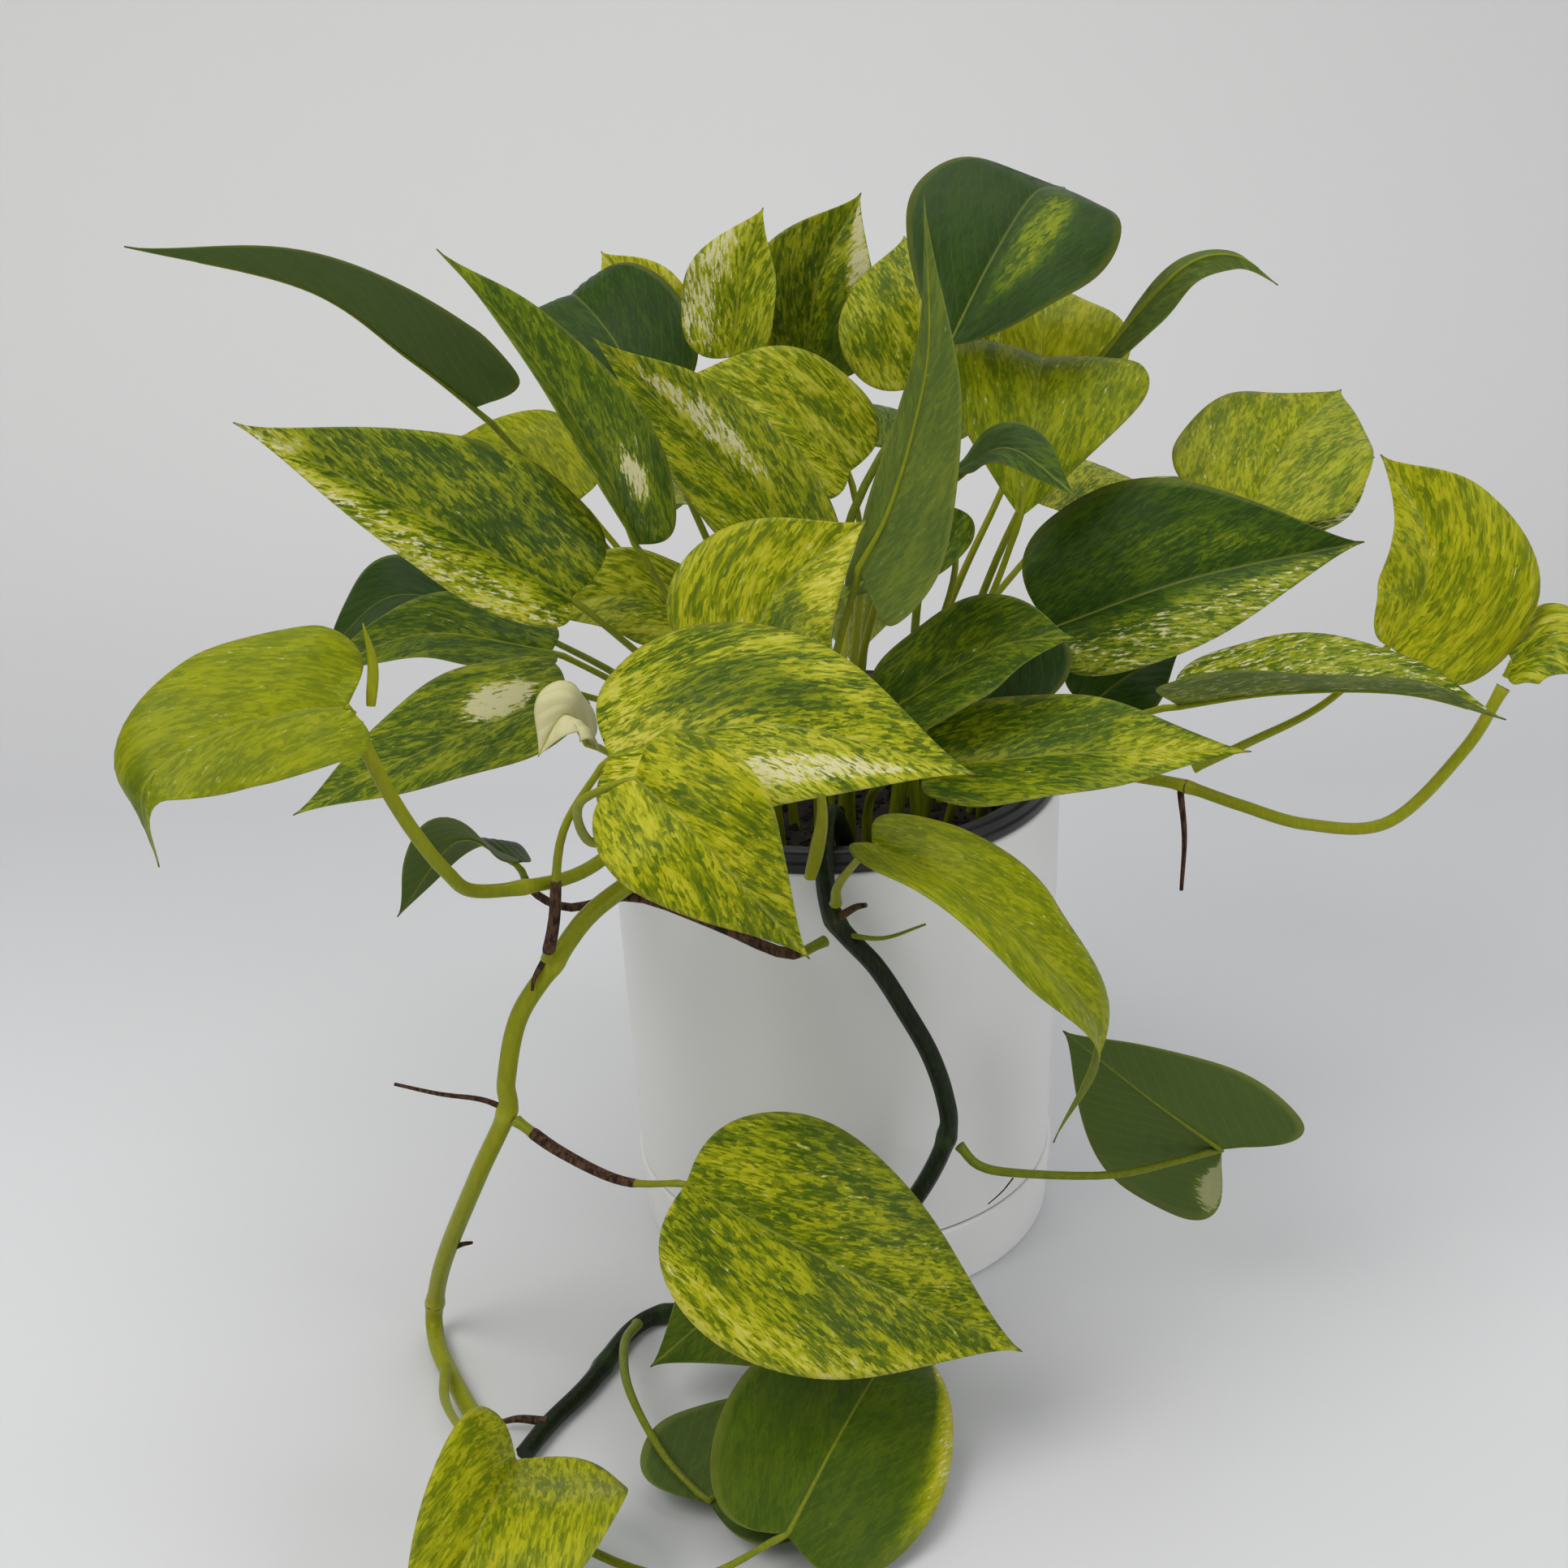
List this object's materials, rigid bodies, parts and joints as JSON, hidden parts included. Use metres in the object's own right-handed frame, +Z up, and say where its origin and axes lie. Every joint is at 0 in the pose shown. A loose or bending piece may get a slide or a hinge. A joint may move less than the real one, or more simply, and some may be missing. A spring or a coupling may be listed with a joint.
{
  "type": "potted pothos plant",
  "caption": "Bushy variegated golden pothos in a black nursery pot inside a white cylindrical cover pot with a saucer, with stems trailing over the rim.",
  "frame": {"origin": "centre of the saucer's flat underside, on the surface that it stands on", "axes": "+Z up along the pot's axis; -Y towards the plant's front, where two stems trail over the rim; +X to its right as seen from the front"},
  "size_m": [0.5014, 0.4705, 0.421],
  "materials": {
    "white_plastic": "satin moulded white polypropylene",
    "black_plastic": "satin black grower's pot plastic",
    "potting_soil": null,
    "stem": null,
    "leaf_dark": null,
    "leaf_green": null,
    "leaf_lime": null,
    "leaf_yellow": null,
    "leaf_pale": null
  },
  "bodies": {
    "root": {"pot_saucer": "white_plastic", "cover_pot": "white_plastic", "nursery_pot": "black_plastic", "potting_soil": "potting_soil", "vine_front_left": "stem", "vine_front_right": "stem", "vine_right": "stem", "vine_left": "stem", "shoot_front": "stem", "shoot_left": "stem", "leaf_far_left": "leaf_dark", "leaf_tall_left": "leaf_green", "leaf_back_left": "leaf_dark", "leaf_back_tip": "leaf_yellow", "leaf_big_left": "leaf_green", "leaf_lime_back": "leaf_lime", "leaf_centre": "leaf_lime", "leaf_centre_back": "leaf_lime", "leaf_top_a": "leaf_lime", "leaf_top_b": "leaf_lime", "leaf_top_c": "leaf_lime", "leaf_crown": "leaf_dark", "leaf_twisted": "leaf_green", "leaf_yellow_back": "leaf_yellow", "leaf_curled_tip": "leaf_green", "leaf_bright_right": "leaf_lime", "leaf_arched": "leaf_dark", "leaf_right_heart": "leaf_lime", "leaf_right_back": "leaf_pale", "leaf_big_right": "leaf_dark", "leaf_far_right": "leaf_yellow", "leaf_low_right": "leaf_pale", "leaf_edge_right": "leaf_lime", "leaf_front_upright": "leaf_lime", "leaf_front_centre": "leaf_green", "leaf_front_yellow": "leaf_yellow", "leaf_left_low": "leaf_green", "leaf_left_lime": "leaf_lime", "leaf_left_under": "leaf_green", "leaf_hanging_right": "leaf_lime", "leaf_right_front": "leaf_green", "leaf_inner_right": "leaf_green", "leaf_inner_dark": "leaf_dark", "leaf_low_dark": "leaf_dark", "leaf_left_dark": "leaf_dark", "leaf_left_mid": "leaf_green", "leaf_inner_left": "leaf_lime", "leaf_trailing_big": "leaf_lime", "leaf_trailing_right": "leaf_green", "leaf_table_yellow": "leaf_yellow", "leaf_table_front": "leaf_dark", "leaf_table_back": "leaf_dark", "leaf_table_under": "leaf_dark", "leaf_white_curl": "leaf_pale", "leaf_wavy": "leaf_green", "leaf_rear_a": "leaf_green", "leaf_rear_b": "leaf_lime", "leaf_rear_c": "leaf_lime", "leaf_rear_d": "leaf_green", "leaf_rear_low": "leaf_yellow"}
  },
  "joints": []
}
